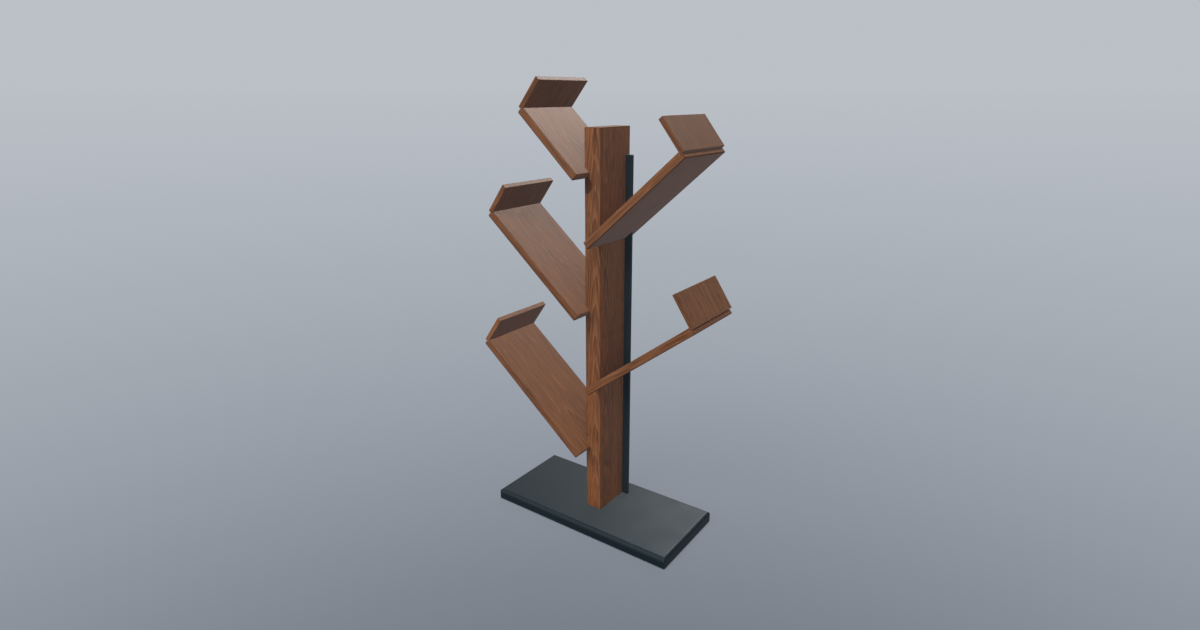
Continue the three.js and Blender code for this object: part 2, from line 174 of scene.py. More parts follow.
class Graph:
    """A material or a world under construction, built from short calls that give sockets."""

    def __init__(self, owner: bpy.types.Material | bpy.types.World) -> None:
        """Starts on a material or a world, whose nodes it clears away.

        Args:
            owner: the material or the world.
        """
        self.owner = owner
        owner.use_nodes = True
        self.tree = owner.node_tree
        self.tree.nodes.clear()

    def add(self, kind: str, inputs: dict[str | int, Any], **settings: Any) -> bpy.types.Node:
        """Adds a node.

        Args:
            kind: the node's type.
            inputs: a value or another node's socket for each named input.
            settings: properties of the node itself.

        Returns:
            The node.
        """
        node = self.tree.nodes.new(kind)
        for key, value in settings.items():
            setattr(node, key, value)
        for key, value in inputs.items():
            if isinstance(value, Socket):
                self.tree.links.new(value, node.inputs[key])
            else:
                node.inputs[key].default_value = value
        return node

    def math(self, operation: str, *values: Number) -> Socket:
        """One step of arithmetic on one, two or three values."""
        inputs = dict(enumerate(values))
        return self.add("ShaderNodeMath", inputs, operation=operation).outputs[0]

    def times(self, product: Number, *factors: Number) -> Number:
        """Multiplies values.

        Args:
            product: the first value.
            factors: the other ones.

        Returns:
            Their product.
        """
        for factor in factors:
            product = self.math("MULTIPLY", product, factor)
        return product

    def plus(self, total: Number, *parts: tuple[Socket, Number]) -> Number:
        """Adds to a value.

        Args:
            total: the value.
            parts: what to add to it, each with the factor that it is multiplied by.

        Returns:
            The sum.
        """
        for part, factor in parts:
            total = self.math("MULTIPLY_ADD", part, factor, total)
        return total

    def parts(self, place: Socket) -> list[Socket]:
        """The three coordinates of a place."""
        return list(self.add("ShaderNodeSeparateXYZ", {0: place}).outputs)

    def length(self, way: Socket) -> Socket:
        """The length of a direction, or a place's distance from the origin."""
        return self.add("ShaderNodeVectorMath", {0: way}, operation="LENGTH").outputs["Value"]

    def dot(self, way: Socket, axis: Triple) -> Socket:
        """How far a direction runs along a fixed axis."""
        inputs = {0: way, 1: axis}
        return self.add("ShaderNodeVectorMath", inputs, operation="DOT_PRODUCT").outputs["Value"]

    def world(self) -> Socket:
        """A point's place in the world, which is its Object coordinate, as every origin is there."""
        return self.add("ShaderNodeTexCoord", {}).outputs["Object"]

    def own_axes(self, block: Block) -> Socket:
        """Finds a point's place in a block's own axes, in metres from its middle.

        Args:
            block: the box that the piece was cut from.

        Returns:
            The place: along the grain, across the face, and through the thickness.
        """
        along, across = (Vector(axis).normalized() for axis in (block.along, block.across))
        turn = Matrix((along, across, along.cross(across))).transposed()
        inputs = {"Vector": self.world(), "Location": block.centre, "Rotation": turn.to_euler()}
        return self.add("ShaderNodeMapping", inputs, vector_type="TEXTURE").outputs[0]

    def stretched(self, place: Socket, scale: Triple, shift: Triple = (0, 0, 0)) -> Socket:
        """A place scaled by its own factor along each axis, and then shifted."""
        inputs = {"Vector": place, "Scale": scale, "Location": shift}
        return self.add("ShaderNodeMapping", inputs, vector_type="POINT").outputs[0]

    def noise(self, place: Socket, detail: float, roughness: float) -> Socket:
        """Smooth noise from zero to one, whose features are about one unit wide."""
        inputs = {"Vector": place, "Scale": 1.0, "Detail": detail, "Roughness": roughness}
        return self.add("ShaderNodeTexNoise", inputs).outputs["Fac"]

    def layer(self, place: Socket, layer: Layer, seed: float = 0.0) -> Socket:
        """Reads a layer of noise.

        Args:
            place: a point in the piece's own axes.
            layer: the layer.
            seed: a number that gives each piece its own noise.

        Returns:
            The noise there, from zero to one.
        """
        scale = (layer.along, layer.across, layer.across)
        shift = tuple(seed * part for part in layer.shift)
        return self.noise(self.stretched(place, scale, shift), layer.detail, layer.roughness)

    def eased(self, value: Number, low: float, high: float, to: Span = (0, 1)) -> Socket:
        """A value carried from one range to another along a smooth step."""
        inputs = {"Value": value, "From Min": low, "From Max": high, "To Min": to[0], "To Max": to[1]}
        return self.add("ShaderNodeMapRange", inputs, interpolation_type="SMOOTHSTEP").outputs[0]

    def towards(self, part: Socket, limit: float, span: Span) -> Socket:
        """How near a coordinate is to a limit: nil at the span's first distance, one at its last."""
        return self.eased(part, limit - span[0], limit - span[1])

    def wash(self, noise: Socket, wash: Wash, marking: float = 0.0) -> Socket:
        """How much of a wash shows at a noise, in timber of some marking."""
        return self.eased(noise, wash.start, wash.full, (0.0, wash.share + wash.marking * marking))

    def worn(
        self, place: Socket, edge: Socket, rub: Layer, patches: Wash, reach: Span, seed: float = 0.0
    ) -> Socket:
        """How far a finish has rubbed off within a reach of an edge, where the rub's noise lets it."""
        close = self.eased(edge, *reach)
        return self.times(close, self.wash(self.layer(place, rub, seed), patches))

    def ramp(self, value: Number, stops: Stops) -> Socket:
        """Turns a value into a colour.

        Args:
            value: the value, from zero to one.
            stops: places along that range with their colours.

        Returns:
            The colour.
        """
        node = self.add("ShaderNodeValToRGB", {"Fac": value})
        elements = node.color_ramp.elements
        while len(elements) < len(stops):
            elements.new(0.5)
        for element, (place, colour) in zip(elements, stops):
            element.position = place
            element.color = (*colour, 1.0)
        return node.outputs["Color"]

    def blend(self, share: Number, first: Any, second: Any, mode: str = "MIX") -> Socket:
        """Mixes two colours.

        Args:
            share: how much of the second one goes in.
            first: a colour or a socket.
            second: a colour or a socket.
            mode: the kind of mixing.

        Returns:
            The mixed colour.
        """
        full = [(*c, 1.0) if isinstance(c, tuple) else c for c in (first, second)]
        inputs = {0: share, 6: full[0], 7: full[1]}
        return self.add("ShaderNodeMix", inputs, data_type="RGBA", blend_type=mode).outputs[2]

    def edge(self, place: Socket, half: Triple) -> Socket:
        """Finds how far a point on a box's surface lies from the box's nearest edge.

        It is the middle one of the three distances to the pairs of faces, the least of which is
        nil on the surface.

        Args:
            place: the point in the box's own axes.
            half: half the box's size along each axis.

        Returns:
            The distance, in metres.
        """
        a, b, c = (
            self.math("SUBTRACT", size, self.math("ABSOLUTE", part))
            for size, part in zip(half, self.parts(place))
        )
        inner = self.math("MINIMUM", self.math("MAXIMUM", a, b), c)
        return self.math("MAXIMUM", self.math("MINIMUM", a, b), inner)

    def relief(self, height: Socket, depth: float, strength: float) -> Socket:
        """A normal bumped by a height from zero to one, of which a height of one is the depth."""
        inputs = {"Height": height, "Distance": depth, "Strength": strength}
        return self.add("ShaderNodeBump", inputs).outputs["Normal"]

    def finish(
        self, colour: Socket, roughness: Socket, normal: Socket, **constants: Any
    ) -> bpy.types.Material:
        """Closes the material with one surface shader.

        Args:
            colour: its colour.
            roughness: its roughness.
            normal: its bumped normal.
            constants: any other input of the shader by name, with a low line for each space.

        Returns:
            The material.
        """
        inputs = {"Base Color": colour, "Roughness": roughness, "Normal": normal}
        inputs |= {key.replace("_", " "): value for key, value in constants.items()}
        shader = self.add("ShaderNodeBsdfPrincipled", inputs)
        self.add("ShaderNodeOutputMaterial", {"Surface": shader.outputs[0]})
        return self.owner


class Timber:
    """A piece of walnut under construction: its figure and its growth rings.

    Attributes:
        place: a point in the piece's own axes.
        noise: the noise there for each kind of figure.
        fleck: the noise of its dark flecks there.
        within: how far through its growth ring the point is.
        strength: how strongly that ring shows, from zero to one.
    """

    FRAY = 0.8

    def __init__(self, graph: Graph, block: Block, cut: Cut, seed: float, wander: float) -> None:
        """Reads the figure and finds the rings.

        A point's count of rings is its distance from the pith, plus the taper times the way along
        the grain, plus a slow noise, all by the ring's width. The streaks fray it by up to FRAY of
        a ring. Its whole part is the ring, and the rest is how far through that the point is.

        Args:
            graph: the material.
            block: the box that the piece was cut from.
            cut: where it lay in its log.
            seed: a number that gives each piece its own timber.
            wander: how far the log's heart wanders.
        """
        self.graph = graph
        self.block = block
        self.cut = cut
        self.place = graph.own_axes(block)
        self.noise = {kind: graph.layer(self.place, kind.value, seed) for kind in Figure}
        self.fleck = graph.layer(self.place, cut.fleck, seed)

        pith = (0.0, -cut.aside, cut.below - block.half[2])
        radius = graph.length(graph.stretched(self.place, (0.0, 1.0, 1.0), pith))
        way = graph.parts(self.place)[0]
        radius = graph.plus(radius, (way, cut.taper), (self.noise[Figure.DRIFT], wander))
        count = graph.math("DIVIDE", radius, cut.ring)
        count = graph.plus(count, (self.noise[Figure.STREAK], self.FRAY))
        which = {"W": graph.math("FLOOR", count)}
        self.within = graph.math("FRACT", count)
        self.strength = graph.add("ShaderNodeTexWhiteNoise", which, noise_dimensions="1D").outputs["Value"]


@dataclass(frozen=True)
class ShadowPatch:
    """A painted shadow on a block of timber: an egg, longest along the grain, with a ragged skin.

    Attributes:
        middle: where its middle is in the block's own axes.
        size: half its size along the grain, across the face and through the piece.
        bumps: how many there are in a metre of its skin along each axis.
    """

    middle: Triple
    size: Triple = (0.030, 0.025, 0.030)
    bumps: Triple = (90.0, 260.0, 90.0)

    def share(self, wood: Timber) -> Socket:
        """Finds how much of the painted shadow's colour a point has.

        The distance from its middle, by its size, has half the skin's noise added to it.

        Args:
            wood: the timber.

        Returns:
            The share, from zero to one.
        """
        graph = wood.graph
        scale = tuple(1 / size for size in self.size)
        shift = tuple(-part / size for part, size in zip(self.middle, self.size))
        way = graph.length(graph.stretched(wood.place, scale, shift))
        bumps = graph.noise(graph.stretched(wood.place, self.bumps), detail=2.0, roughness=0.5)
        return graph.eased(graph.plus(way, (bumps, 0.5)), low=1.28, high=1.18)


@dataclass(frozen=True)
class Walnut:
    """Satin lacquered walnut, with growth rings that run through the whole block.

    Attributes:
        light: the early wood of a ring.
        middle: the body of a ring.
        dark: the late wood that closes a ring.
        amber: the warm streaks that cross the rings.
        edge_shade_colour: the colour of the painted shade that darkens the edges.
        tone: how light the timber is against the usual.
        shaded_band: how light the strips along its two long edges are against its faces, a painted shade
            where below one.
        edge_shade: how much painted shade darkens the edges.
        upper: the share of it that the upper edges have.
        wander: how far the log's heart wanders.
        shadow_patch: a painted shadow on it, if there is one.
        clouds: what slow clouds multiply the colour by.
        gloss: the lacquer's roughness.
        closing: how far through a ring its late wood ends.
        faintest: how strong the faintest ring is against the strongest.
    """

    light: Colour = (0.262, 0.108, 0.0455)
    middle: Colour = (0.194, 0.073, 0.0275)
    dark: Colour = (0.074, 0.024, 0.0100)
    amber: Colour = (0.255, 0.088, 0.0255)
    edge_shade_colour: Colour = (0.050, 0.013, 0.004)
    tone: float = 1.0
    shaded_band: float = 1.0
    edge_shade: float = 0.0
    upper: float = 1.0
    wander: float = 0.030
    shadow_patch: ShadowPatch | None = None
    clouds: Stops = ((0.3, (0.84, 0.84, 0.88)), (0.5, (1.0, 1.0, 1.0)), (0.7, (1.12, 1.07, 1.0)))
    gloss: float = 0.40
    closing: float = 0.94
    faintest: float = 0.55

    def toned(self, colour: Colour) -> Colour:
        """A colour as light as the tone makes it."""
        return tuple(self.tone * part for part in colour)

    def ringed(self, wood: Timber) -> Socket:
        """Colours the growth rings, some of which are fainter than others.

        Args:
            wood: the timber.

        Returns:
            The colour.
        """
        graph, marking = wood.graph, wood.cut.marking
        light, middle, dark = (self.toned(part) for part in (self.light, self.middle, self.dark))
        body, end, late = wood.cut.steps
        early = ((0.0, light), (body, middle), (end, middle))
        stops = (*early, (late, dark), (self.closing, dark), (1.0, light))
        share = graph.eased(wood.strength, 0.0, 1.0, to=(self.faintest * marking, marking))
        return graph.blend(share, middle, graph.ramp(wood.within, stops))

    def figured(self, wood: Timber, colour: Socket) -> Socket:
        """Adds the streaks, the fibres, the flecks and the clouds.

        Args:
            wood: the timber.
            colour: the colour of its rings.

        Returns:
            The colour with its figure.
        """
        graph, marking = wood.graph, wood.cut.marking
        washes = (
            (wood.noise[Figure.STREAK], Wash(0.30, 0.70, share=0.15, marking=0.40), self.light),
            (wood.noise[Figure.WARMTH], Wash(0.50, 0.68, share=0.60), self.amber),
            (wood.noise[Figure.FIBRE], Wash(0.42, 0.70, share=0.15, marking=0.25), self.dark),
            (wood.fleck, Wash(0.54, 0.68, share=0.30, marking=0.30), self.dark),
        )
        for noise, wash, part in washes:
            colour = graph.blend(graph.wash(noise, wash, marking), colour, self.toned(part))
        clouds = graph.ramp(wood.noise[Figure.CLOUD], self.clouds)
        cloudy = 0.1 + 0.6 * marking**2
        return graph.blend(cloudy, colour, clouds, mode="MULTIPLY")

    def gleaming(self, wood: Timber, colour: Socket) -> Socket:
        """Adds a thin pale line where a strong ring starts, broken up by the streaks.

        Args:
            wood: the timber.
            colour: the colour so far.

        Returns:
            The colour with the lines.
        """
        graph = wood.graph
        thin = graph.eased(wood.within, low=0.13, high=0.03)
        strong = graph.eased(wood.strength, low=0.35, high=0.75)
        whole = graph.eased(wood.noise[Figure.STREAK], low=0.38, high=0.55, to=(0.3, wood.cut.gleam))
        pale = tuple(1.25 * part for part in self.toned(self.light))
        return graph.blend(graph.times(thin, strong, whole), colour, pale)

    def banded(self, wood: Timber, colour: Socket) -> Socket:
        """Darkens the strips along the two long edges with painted shade, and shows more streaks and
        flecks in them.

        Args:
            wood: the timber.
            colour: the colour so far.

        Returns:
            The colour with the strips.
        """
        graph = wood.graph
        aside = graph.math("ABSOLUTE", graph.parts(wood.place)[1])
        strip = graph.towards(aside, wood.block.half[1], span=(0.002, 0.0))
        streaks = graph.wash(wood.noise[Figure.STREAK], Wash(0.35, 0.65, share=0.30))
        flecks = graph.wash(wood.fleck, Wash(0.50, 0.66, share=0.50))
        # Painted shade on the front and rear faces along the long edges.
        shaded_band = graph.blend(1.0, colour, (self.shaded_band,) * 3, mode="MULTIPLY")
        shaded_band = graph.blend(streaks, shaded_band, self.toned(self.light))
        shaded_band = graph.blend(flecks, shaded_band, self.toned(self.dark))
        return graph.blend(strip, colour, shaded_band)

    def edge_shaded(self, wood: Timber, edge: Socket) -> Socket:
        """Finds how much painted shade darkens a point near an edge.

        Args:
            wood: the timber.
            edge: the point's distance from the nearest edge.

        Returns:
            The share of painted shade, from zero to one.
        """
        graph = wood.graph
        gathered = graph.eased(edge, low=0.0080, high=0.0005)
        level = graph.parts(wood.place)[2]
        most = graph.eased(level, low=-0.004, high=0.004, to=(self.edge_shade, self.edge_shade * self.upper))
        return graph.times(gathered, gathered, most)

    def material(self, name: str, block: Block, sawing: Sawing, seed: float) -> bpy.types.Material:
        """Makes the finish for one piece.

        The rings and the figure give the colour. The fibres and the pores give the relief.

        Args:
            name: the material's name.
            block: the box that the piece was cut from.
            sawing: how it was cut from the log.
            seed: a number that gives each piece its own timber.

        Returns:
            The material.
        """
        graph = Graph(bpy.data.materials.new(name))
        wood = Timber(graph, block, sawing.value, seed, self.wander)
        light, dark = self.toned(self.light), self.toned(self.dark)
        colour = self.figured(wood, self.ringed(wood))
        if wood.cut.gleam:
            colour = self.gleaming(wood, colour)
        if self.shaded_band < 1.0:
            colour = self.banded(wood, colour)
        # A painted shadow, in the colour of the late wood.
        if self.shadow_patch:
            colour = graph.blend(self.shadow_patch.share(wood), colour, dark)
        pores = graph.wash(wood.noise[Figure.PORE], Wash(0.62, 0.74))
        colour = graph.blend(graph.times(pores, 0.5), colour, dark)

        edge = graph.edge(wood.place, block.half)
        rub = Layer(60.0, 60.0)
        worn = graph.worn(wood.place, edge, rub, Wash(0.35, 0.70), reach=(0.0045, 0.0008), seed=seed)
        lighter = 0.35 - 0.30 * self.edge_shade
        colour = graph.blend(graph.times(worn, lighter), colour, light)
        # Painted shade darkens the edges in place of their shaded rounds, most of all on the boards' lower
        # edges.
        edge_shaded = self.edge_shaded(wood, edge)
        colour = graph.blend(edge_shaded, colour, self.edge_shade_colour)

        streak = graph.eased(wood.noise[Figure.STREAK], low=0.3, high=0.7)
        roughness = graph.plus(self.gloss, (streak, 0.05), (worn, 0.12), (edge_shaded, 0.55))
        height = graph.math("SUBTRACT", wood.noise[Figure.FIBRE], graph.times(pores, 0.8))
        normal = graph.relief(height, depth=0.0002, strength=0.25)
        return graph.finish(colour, roughness, normal, IOR=1.39)


@dataclass(frozen=True)
class Paint:
    """Sprayed paint or powder coat, with a fine skin and edges that rub lighter.

    Attributes:
        base: its colour.
        worn_and_highlight: its colour along worn edges, and of the painted highlight along the strip.
        roughness: how dull it is.
        grain: the width of the skin's dimples.
        depth: the depth of those dimples.
        wear: how much its edges have rubbed.
        strip: how much painted highlight lies along the rounds of its long upper edges, which are duller
            there too.
        mottle: what its slow clouds multiply the colour by.
        tint: the colour of its gloss.
    """

    base: Colour
    worn_and_highlight: Colour
    roughness: float
    grain: float
    depth: float
    wear: float = 0.4
    strip: float = 0.0
    mottle: Stops = ((0.3, (0.9, 0.9, 0.9)), (0.7, (1.1, 1.1, 1.1)))
    tint: Colour = (0.84, 1.0, 1.13)

    def material(self, name: str, block: Block) -> bpy.types.Material:
        """Makes the finish for one piece.

        The strip has a painted highlight close to the piece's sides, and is duller farther in too.

        Args:
            name: the material's name.
            block: the box that holds the piece.

        Returns:
            The material.
        """
        graph = Graph(bpy.data.materials.new(name))
        place = graph.own_axes(block)
        skin = graph.layer(place, Layer(1 / self.grain, 1 / self.grain))
        cloud = graph.layer(place, Layer(9.0, 9.0, detail=3.0))
        edge = graph.edge(place, block.half)
        rub = Layer(70.0, 70.0, detail=3.0)
        worn = graph.worn(place, edge, rub, Wash(0.45, 0.75), reach=(0.006, 0.001))
        colour = graph.blend(1.0, self.base, graph.ramp(cloud, self.mottle), mode="MULTIPLY")
        colour = graph.blend(graph.times(worn, self.wear), colour, self.worn_and_highlight)
        cloudy = graph.eased(cloud, low=0.3, high=0.7)
        roughness = graph.plus(self.roughness, (cloudy, 0.06), (worn, 0.1))
        if self.strip:
            _, side, level = graph.parts(place)
            aside = graph.math("ABSOLUTE", side)
            upper = graph.towards(level, block.half[2], span=(0.018, 0.013))
            lighter = graph.towards(aside, block.half[1], span=(0.0035, 0.0003))
            duller = graph.towards(aside, block.half[1], span=(0.0115, 0.0090))
            # A painted highlight on the rounds of the upper front and rear edges.
            colour = graph.blend(graph.times(upper, lighter, self.strip), colour, self.worn_and_highlight)
            roughness = graph.plus(roughness, (graph.times(upper, duller), 0.25))
        normal = graph.relief(skin, self.depth, strength=0.3)
        return graph.finish(colour, roughness, normal, IOR=1.335, Specular_Tint=(*self.tint, 1.0))


@dataclass(frozen=True)
class Coat:
    """A finish of two colours that noise mixes.

    Attributes:
        base: its main colour.
        other: its other colour.
        washes: the noises that bring the other colour, each with how much they bring.
        roughness: how rough it is at its smoothest.
        dull: the noise that makes it rougher, with how much rougher.
        bumps: the noise of its relief.
        depth: the depth of those bumps.
        strength: how strongly they show.
        constants: other inputs of the shader, by name.
    """

    base: Colour
    other: Colour
    washes: tuple[tuple[Layer, Wash], ...]
    roughness: float
    dull: tuple[Layer, Wash]
    bumps: Layer
    depth: float
    strength: float
    constants: tuple[tuple[str, float], ...]

    def material(self, name: str, block: Block) -> bpy.types.Material:
        """Makes the finish for one piece.

        Args:
            name: the material's name.
            block: the box that holds the piece.

        Returns:
            The material.
        """
        graph = Graph(bpy.data.materials.new(name))
        place = graph.own_axes(block)
        colour = self.base
        for layer, wash in self.washes:
            colour = graph.blend(graph.wash(graph.layer(place, layer), wash), colour, self.other)
        layer, wash = self.dull
        rougher = graph.wash(graph.layer(place, layer), wash)
        roughness = graph.math("ADD", rougher, self.roughness)
        normal = graph.relief(graph.layer(place, self.bumps), self.depth, self.strength)
        return graph.finish(colour, roughness, normal, **dict(self.constants))


# Zinc plated steel, brushed along its length, with cloudy plating.
PLATING = Layer(180.0, 180.0, detail=3.0)
ZINC = Coat(
    base=(0.56, 0.57, 0.58), other=(0.38, 0.38, 0.37), washes=((PLATING, Wash(0.35, 0.75)),),
    roughness=0.32, dull=(PLATING, Wash(0.3, 0.8, share=0.2)),
    bumps=Layer(200.0, 3500.0), depth=0.00004, strength=0.3,
    constants=(("Metallic", 1.0),),
)

# Bare beech, with the short dark flecks of its rays.
BEECH_FIBRE = Layer(40.0, 900.0)
BEECH_RAY = Layer(420.0, 2200.0, detail=1.0)
BEECH = Coat(
    base=(0.58, 0.38, 0.20), other=(0.36, 0.20, 0.095),
    washes=((BEECH_FIBRE, Wash(0.3, 0.8, share=0.35)), (BEECH_RAY, Wash(0.62, 0.70, share=0.70))),
    roughness=0.55, dull=(BEECH_FIBRE, Wash(0.0, 1.0, share=0.20)),
    bumps=BEECH_FIBRE, depth=0.00012, strength=0.4,
    constants=(("IOR", 1.45),),
)

# Pressed wool felt, with matted fibres that stand up in clumps.
FELT_MAT = Layer(900.0, 900.0, detail=4.0, roughness=0.7)
FELT_CLUMP = Layer(60.0, 60.0)
FELT = Coat(
    base=(0.022, 0.022, 0.024), other=(0.075, 0.075, 0.080),
    washes=((FELT_MAT, Wash(0.4, 0.8)), (FELT_CLUMP, Wash(0.3, 0.8, share=0.3))),
    roughness=0.85, dull=(FELT_MAT, Wash(0.0, 1.0, share=0.15)),
    bumps=FELT_MAT, depth=0.0006, strength=0.6,
    constants=(("Sheen_Weight", 0.3), ("Sheen_Roughness", 0.5)),
)

# The slab's satin paint, with a painted highlight along its upper front and rear rounds, and the spine's
# powder coat.
SLATE = Paint(
    base=(0.0055, 0.0125, 0.0165), worn_and_highlight=(0.042, 0.048, 0.048),
    roughness=0.31, grain=0.0012, depth=0.00003, strip=0.25,
)
POWDER = Paint(
    base=(0.0190, 0.0310, 0.0375), worn_and_highlight=(0.040, 0.056, 0.062),
    roughness=0.42, grain=0.0006, depth=0.00005, wear=0.1,
)


def dress(node: str, material: bpy.types.Material, meets: Meets = Meets.DULL) -> None:
    """Gives a node of the frame its finish.

    Most pieces are left out of each other's gloss, as in the photograph, where a satin face shows
    only the sky and the floor. The camera sees every piece.

    Args:
        node: the node's name.
        material: the finish, which takes the place of all its plain ones.
        meets: which light on its way to another piece meets the node.
    """
    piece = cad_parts[node]
    piece.visible_glossy, piece.visible_diffuse, piece.visible_shadow = meets.value
    mesh = piece.data
    for index in range(len(mesh.materials)):
        mesh.materials[index] = material
    LOG.info("dressed %s", node)


def box_of(node: str, lie: Lie = Lie.LEVEL) -> Block:
    """Finds the block of a node that stands square to the world.

    Args:
        node: the node's name.
        lie: how it lies.

    Returns:
        The block, whose half sizes follow its own axes.
    """
    low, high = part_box(node)
    half = (high - low) / 2
    along, across = lie.value
    third = Vector(along).cross(Vector(across))
    sizes = tuple(abs(half.dot(Vector(axis))) for axis in (along, across, third))
    return Block(tuple((low + high) / 2), along, across, sizes)


@dataclass
class Base:
    """The slab that everything stands on, with the felt below it."""

    paint: Paint = SLATE
    felt: Coat = FELT

    def build(self) -> None:
        """Dresses the slab and its felt."""
        dress("base_slab", self.paint.material("slate paint", box_of("base_slab")))
        dress("felt_underlay", self.felt.material("grey felt", box_of("felt_underlay")))


@dataclass
class Trunk:
    """The upright post with its rear cover, bolts and threaded inserts.

    Attributes:
        seed: which timber the post is cut from.
        cover_seed: which timber the cover is cut from.
    """

    # The trunk has a painted shadow on its front just under the top left board's inner end, and painted
    # shade along its edges.
    walnut: Walnut = Walnut(tone=1.06, edge_shade=0.35, wander=0.012, shadow_patch=ShadowPatch((0.552, 0.026, 0.093)))
    seed: float = 1.3
    cover_seed: float = 2.9
    zinc: Coat = ZINC

    def build(self) -> None:
        """Dresses the post, the cover and the fasteners at the foot."""
        post, cover = (box_of(node, Lie.FACING_FRONT) for node in ("trunk", "rear_cover"))
        dress("trunk", self.walnut.material("walnut trunk", post, Sawing.CROWN, self.seed))
        dress("rear_cover", self.walnut.material("walnut cover", cover, Sawing.RIFT, self.cover_seed))
        for place in ("front", "rear"):
            for kind in ("trunk_bolt", "trunk_insert"):
                node = f"{kind}_{place}"
                dress(node, self.zinc.material(f"zinc {node}", box_of(node, Lie.FACING_FRONT)))


@dataclass
class Spine:
    """The steel bar behind the trunk, with the screws that hold it."""

    powder: Paint = POWDER
    zinc: Coat = ZINC
    cover_screws: int = 5
    foot_screws: int = 4

    def build(self) -> None:
        """Dresses the bar and its screws."""
        bar = box_of("spine", Lie.FACING_BACK)
        dress("spine", self.powder.material("dark powder coat", bar))
        screws = (
            ("spine_screw", self.cover_screws, Lie.THROUGH),
            ("foot_screw", self.foot_screws, Lie.FACING_BACK),
        )
        for kind, count, lie in screws:
            for number in range(count):
                node = f"{kind}_{number + 1}"
                dress(node, self.zinc.material(f"zinc {node}", box_of(node, lie)))


@dataclass
class Branch:
    """A sloping board with its end stop, pins and dowels.

    Attributes:
        name: its part of the nodes' names.
        side: the side it grows to.
        height: of its upper inner edge above the slab.
        reach: how far out its top face runs.
        rise: how far up its top face runs.
        seed: which timber it is cut from.
        band_shade: how light the board's long edges are against its faces, a painted shade.
        stop_shading: how light its end stop is, painted light and shade that differs from stop to stop.
        stop_meets: which light on its way to another piece meets its end stop.
        inset: how far the board is housed in the trunk's side.
        setback: how far behind the trunk's middle its own middle lies.
        overhang: how far the stop overhangs the board's end.
        rebate: how deep the step is that the stop stands in.
        stop_seed: how far the stop's timber is from the board's.
        pin_half: half the box round a pin or a dowel.
    """

    name: str
    side: Side
    height: float
    reach: float
    rise: float
    seed: float
    band_shade: float
    stop_shading: float
    stop_meets: Meets
    slab_top: float = 0.0453
    trunk_width: float = 0.068
    inset: float = 0.002
    thickness: float = 0.029
    depth: float = 0.282
    setback: float = 0.003
    stop_thickness: float = 0.019
    stop_height: float = 0.120
    stop_lean: float = 0.008
    overhang: float = 0.010
    rebate: float = 0.011
    stop_seed: float = 0.45
    pin_half: Triple = (0.07, 0.006, 0.006)
    # Painted shade darkens the board's edges, the lower ones most.
    walnut: Walnut = Walnut(tone=0.965, edge_shade=0.75, upper=0.15)
    zinc: Coat = ZINC
    beech: Coat = BEECH

    @property
    def length(self) -> float:
        """The length of the top face, from the trunk to the end stop."""
        return math.hypot(self.reach, self.rise)

    @property
    def out(self) -> Vector:
        """The way outwards along the board."""
        return Vector((self.side.value * self.reach, 0, self.rise)) / self.length

    @property
    def across(self) -> Vector:
        """The way across the board, on the side that leaves its face looking up."""
        return Vector((0, self.side.value, 0))

    @property
    def up(self) -> Vector:
        """The way square to the board's top face."""
        return self.out.cross(self.across)

    @property
    def corner(self) -> Vector:
        """The middle of the board's upper inner edge."""
        inner = self.trunk_width / 2 - self.inset - self.thickness * self.rise / self.length
        return Vector((self.side.value * inner, self.setback, self.slab_top + self.height))

    def board_block(self) -> Block:
        """Finds the block that the board was cut from.

        Returns:
            The block, with its grain along the board.
        """
        size = self.length + self.stop_thickness - self.overhang
        centre = self.corner + self.out * size / 2 - self.up * self.thickness / 2
        half = (size / 2, self.depth / 2, self.thickness / 2)
        return Block(tuple(centre), tuple(self.out), tuple(self.across), half)

    def stop_block(self) -> Block:
        """Finds the block that the end stop was cut from, which leans outwards at its top.

        Returns:
            The block, with its grain up the stop.
        """
        lean = math.atan2(self.stop_lean, self.stop_height)
        along = self.up * math.cos(lean) + self.out * math.sin(lean)
        through = self.out * math.cos(lean) - self.up * math.sin(lean)
        foot = self.corner + self.out * self.length + through * self.stop_thickness / 2
        centre = foot + along * (self.stop_height - self.rebate) / 2
        half = ((self.stop_height + self.rebate) / 2, self.depth / 2, self.stop_thickness / 2)
        return Block(tuple(centre), tuple(along), tuple(-self.across), half)

    def pin_block(self, node: str) -> Block:
        """The block round a pin or a dowel, which lies along the board."""
        low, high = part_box(node)
        return Block(tuple((low + high) / 2), tuple(self.out), tuple(self.across), self.pin_half)

    def build(self) -> None:
        """Dresses the board, its stop, its pins and its dowels."""
        name, seed = self.name, self.seed
        walnut = replace(self.walnut, shaded_band=self.band_shade)
        board = walnut.material(f"walnut board {name}", self.board_block(), Sawing.FLAT, seed)
        dress(f"board_{name}", board)
        # The stop's walnut is toned lighter or darker with painted light and shade.
        stop_shaded = Walnut(tone=self.stop_shading)
        block = self.stop_block()
        stop = stop_shaded.material(f"walnut stop {name}", block, Sawing.RIFT, seed + self.stop_seed)
        dress(f"end_stop_{name}", stop, self.stop_meets)
        for place in ("front", "rear"):
            pin = f"pin_{name}_{place}"
            dress(pin, self.zinc.material(f"zinc {pin}", self.pin_block(pin)))
            dowel = f"dowel_{name}_{place}"
            dress(dowel, self.beech.material(f"beech {dowel}", self.pin_block(dowel)))


@dataclass(frozen=True)
class Lamp:
    """A large round lamp far away.

    Attributes:
        name: what it is for.
        towards: the way from the object to the lamp.
        strength: how strongly it lights a face that looks at it.
        angle: how wide it looks from the object, in degrees.
    """

    name: str
    towards: Triple
    strength: float
    angle: float

    def hang(self) -> None:
        """Hangs the lamp."""
        data = bpy.data.lights.new(self.name, "SUN")
        data.energy = self.strength
        data.angle = math.radians(self.angle)
        body = bpy.data.objects.new(self.name, data)
        body.rotation_euler = Vector(self.towards).to_track_quat("Z", "Y").to_euler()
        bpy.context.scene.collection.objects.link(body)


